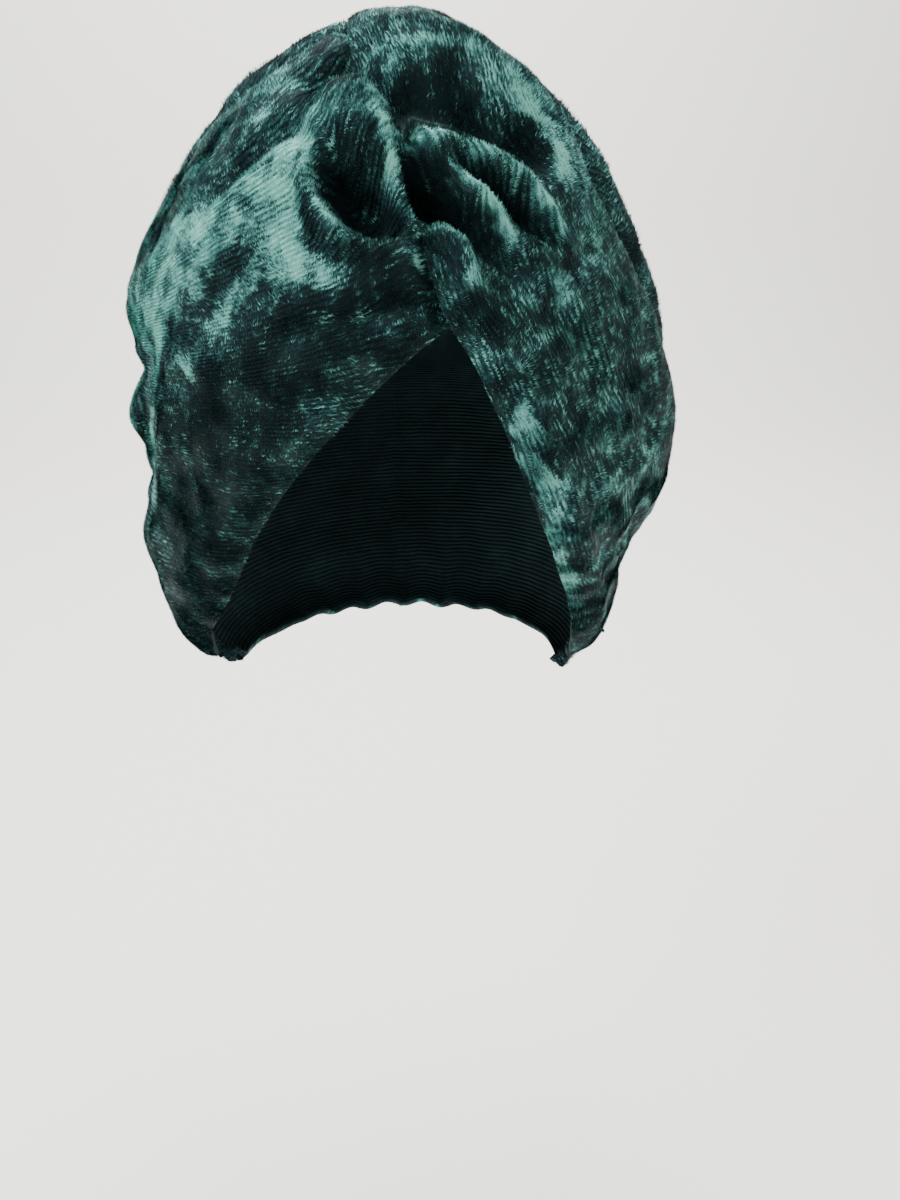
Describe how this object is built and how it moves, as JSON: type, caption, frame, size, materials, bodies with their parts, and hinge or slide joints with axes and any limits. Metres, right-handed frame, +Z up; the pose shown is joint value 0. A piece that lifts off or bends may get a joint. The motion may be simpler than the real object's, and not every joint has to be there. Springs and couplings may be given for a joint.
{
  "type": "turban headwrap",
  "caption": "Close-fitting velvet turban with a twisted front, folds fanning out of the twist, an arched face opening and a gathered nape hem.",
  "frame": {"origin": "inside top of the crown, where the head carries the wrap", "axes": "+Z up as worn, -Y the way the face opening looks, +X towards the wearer's left"},
  "size_m": [0.1945, 0.2213, 0.2358],
  "materials": {
    "velvet": "crushed pile"
  },
  "bodies": {
    "root": {"right_panel": "velvet", "left_panel": "velvet", "crown_cap": "velvet"}
  },
  "joints": []
}
